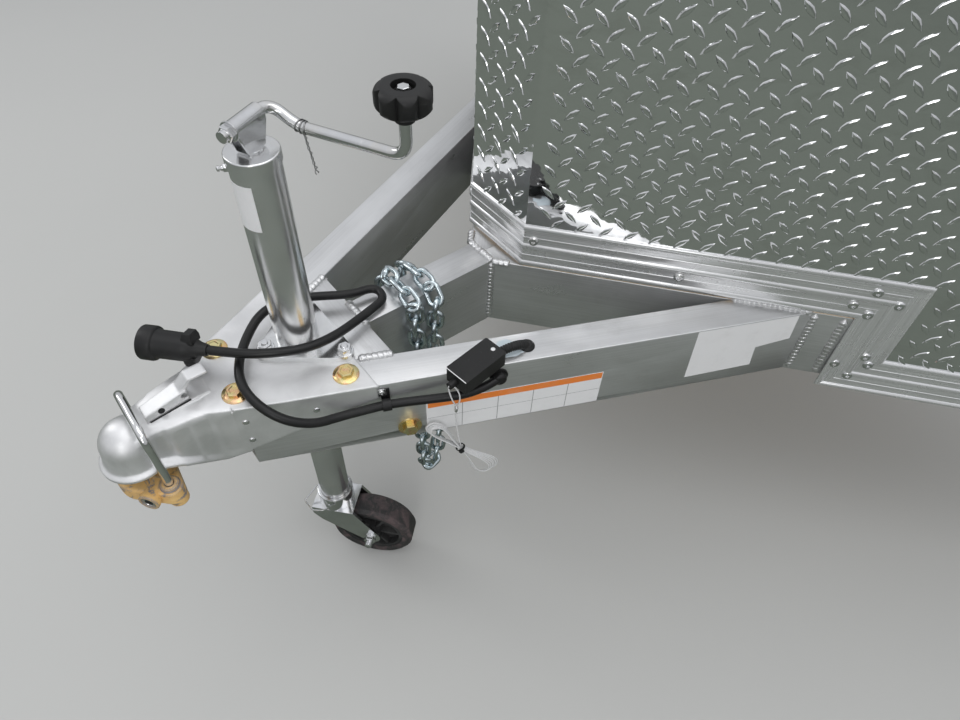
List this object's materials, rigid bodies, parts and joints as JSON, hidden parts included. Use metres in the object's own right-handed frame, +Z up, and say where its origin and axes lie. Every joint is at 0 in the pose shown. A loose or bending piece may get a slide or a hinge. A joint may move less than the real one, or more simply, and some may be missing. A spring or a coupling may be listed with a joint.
{
  "type": "enclosed car trailer front end",
  "caption": "Front end of an enclosed trailer: welded A-frame tongue with ball coupler, caster jack, safety chains, lead and V nose with tread plate.",
  "frame": {"origin": "centre of the rear cross tube's rear face, where the box body joins", "axes": "+X forward to the coupler, +Y to the trailer's left, +Z up"},
  "size_m": [1.6914, 2.6084, 1.111],
  "materials": {
    "tube_aluminium": "mill finish, brushed along the tube",
    "tread_plate": "bright mirror tread plate with raised lugs",
    "trim_aluminium": "bright ribbed extrusion",
    "zinc_stamping": "zinc plated pressing, soft sheen",
    "zinc_bright": "bright zinc plate",
    "chain_zinc": "bluish zinc plate",
    "bolt_gold": "yellow zinc plate",
    "lock_casting": "worn yellow paint over grey casting",
    "lock_chrome": "chrome plate",
    "black_plastic": "moulded, slightly worn",
    "black_rubber": "extruded rubber jacket",
    "wheel_tread": "scuffed hard rubber",
    "wheel_hub": "dusty moulding",
    "cable_white": "clear plastic over steel strand",
    "ply": "plain plywood",
    "wall_panel": "plywood lining and posts"
  },
  "bodies": {
    "frame": {"chain_bolt_left": "bolt_gold", "chain_bolt_right": "bolt_gold", "chain_left": "chain_zinc", "chain_right": "chain_zinc", "coupler": "zinc_stamping", "coupler_latch": "zinc_stamping", "coupler_lock": "lock_casting", "cross_member": "tube_aluminium", "floor_joists": "tube_aluminium", "jack_cap": "zinc_bright", "jack_tube": "zinc_bright", "lanyard": "cable_white", "lanyard_hank": "cable_white", "lead": "black_rubber", "lead_clip": "black_plastic", "lead_gland": "black_rubber", "lock_shackle": "lock_chrome", "nose_floor": "ply", "plug": "black_plastic", "rail_centre": "tube_aluminium", "rail_left": "tube_aluminium", "rail_right": "tube_aluminium", "rear_cross_tube": "tube_aluminium", "stone_guard": "tread_plate", "switch_box": "black_plastic", "switch_loom": "black_plastic", "switch_pin": "black_plastic", "trim_band_front": "trim_aluminium", "trim_band_left": "trim_aluminium", "trim_band_right": "trim_aluminium", "trim_drop_left": "trim_aluminium", "trim_drop_right": "trim_aluminium", "trim_sill_left": "trim_aluminium", "trim_sill_right": "trim_aluminium", "trim_top_front": "trim_aluminium", "trim_top_left": "trim_aluminium", "trim_top_right": "trim_aluminium", "v_tube_left": "tube_aluminium", "v_tube_right": "tube_aluminium", "wall_front": "wall_panel", "wall_left": "wall_panel", "wall_right": "wall_panel"},
    "jack_leg": {"jack_leg": "zinc_bright"},
    "caster": {"caster_yoke": "zinc_bright", "caster_axle": "zinc_bright"},
    "wheel": {"wheel_tread": "wheel_tread", "wheel_hub": "wheel_hub"},
    "crank": {"crank_head": "zinc_bright"},
    "handle": {"crank_handle": "zinc_bright", "crank_knob": "black_plastic"}
  },
  "joints": [
    {"name": "leg_slide", "type": "slide", "parent": "frame", "child": "jack_leg", "axis": [0, 0, 1], "range_m": [-0.13, 0.25]},
    {"name": "caster_swivel", "type": "hinge", "parent": "jack_leg", "child": "caster", "pos_m": [1.40233, 0, -0.35], "axis": [0, 0, 1], "continuous": true},
    {"name": "wheel_spin", "type": "hinge", "parent": "caster", "child": "wheel", "pos_m": [1.35884, 0.0483, -0.4415], "axis": [-0.7431, -0.6691, 0], "continuous": true},
    {"name": "crank_turn", "type": "hinge", "parent": "frame", "child": "crank", "pos_m": [1.40233, 0, 0.37], "axis": [0, 0, 1], "continuous": true},
    {"name": "handle_fold", "type": "hinge", "parent": "crank", "child": "handle", "pos_m": [1.40233, 0, 0.3985], "axis": [-0.891, -0.454, 0], "range_deg": [0, 85]}
  ]
}
